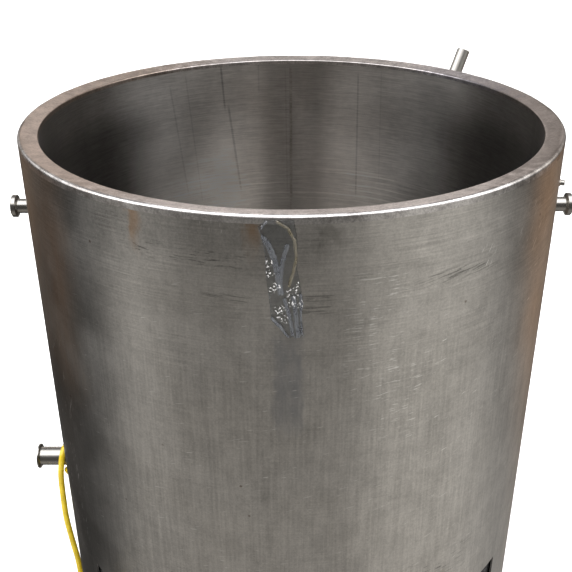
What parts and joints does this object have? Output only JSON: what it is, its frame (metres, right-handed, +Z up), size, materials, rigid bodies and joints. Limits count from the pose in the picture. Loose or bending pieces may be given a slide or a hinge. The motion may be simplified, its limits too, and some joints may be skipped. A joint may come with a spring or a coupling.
{
  "type": "jacketed brewing vat",
  "caption": "Open-topped double-walled round stainless vat on a cut-away skirt, with side lifting lugs, jacket ferrule, vent pipe and a bottom outlet valve.",
  "frame": {"origin": "on the floor at the vat's axis, the centre of the anchor holes", "axes": "+Z up along the vat's axis; the front, with the outlet valve, faces -Y; the jacket inlet points to -X"},
  "size_m": [1.081, 0.9018, 1.1831],
  "materials": {
    "outer_wall_steel": "worn, vertically streaked satin",
    "inner_wall_steel": "circumferential satin brushing",
    "rim_steel": "ground satin",
    "fitting_steel": "satin",
    "turned_steel": "polished, turned",
    "cast_steel": "polished casting",
    "fastener_steel": "bright",
    "weld_steel": "weld bead",
    "black_foam": "matt closed-cell foam",
    "white_seal": "smooth",
    "black_seal": "smooth",
    "clear_film": "crumpled clear tape",
    "grip_plastic": "moulded vinyl",
    "yellow_cord": "smooth sheath",
    "tie_plastic": "strap"
  },
  "bodies": {
    "vat": {"outer_shell": "outer_wall_steel", "inner_shell": "inner_wall_steel", "rim_ring": "rim_steel", "bottom_head": "inner_wall_steel", "jacket_floor": "fitting_steel", "insulation_band": "black_foam", "insulation_disc": "black_foam", "left_leg": "outer_wall_steel", "right_leg": "outer_wall_steel", "inner_seam_weld": "weld_steel", "outer_seam_weld": "weld_steel", "fitting_welds": "weld_steel", "left_foot": "fitting_steel", "right_foot": "fitting_steel", "left_lug": "turned_steel", "right_lug": "turned_steel", "jacket_inlet": "turned_steel", "vent_pipe": "turned_steel", "side_stud": "turned_steel", "clear_film": "clear_film", "outlet_pipe": "turned_steel", "outlet_gasket": "white_seal", "clamp_half_upper": "cast_steel", "clamp_half_lower": "cast_steel", "clamp_hinge_pin": "fastener_steel", "clamp_bolt": "fastener_steel", "clamp_wing_nut": "cast_steel", "valve_body_inlet": "turned_steel", "valve_body_outlet": "turned_steel", "valve_seat": "black_seal", "valve_bolts": "fastener_steel", "valve_nuts": "fastener_steel", "tether_cord": "yellow_cord", "tether_knot": "yellow_cord", "tether_coil": "yellow_cord", "coil_tie": "tie_plastic", "tail_knot": "yellow_cord"},
    "valve_rotor": {"valve_disc": "turned_steel", "valve_stem": "fastener_steel", "valve_lever": "cast_steel", "lever_grip": "grip_plastic", "lever_screw": "fastener_steel"}
  },
  "joints": [
    {"name": "outlet_valve", "type": "hinge", "parent": "vat", "child": "valve_rotor", "pos_m": [0, -0.286, 0.228], "axis": [-1, 0, 0], "range_deg": [0, 90]}
  ]
}
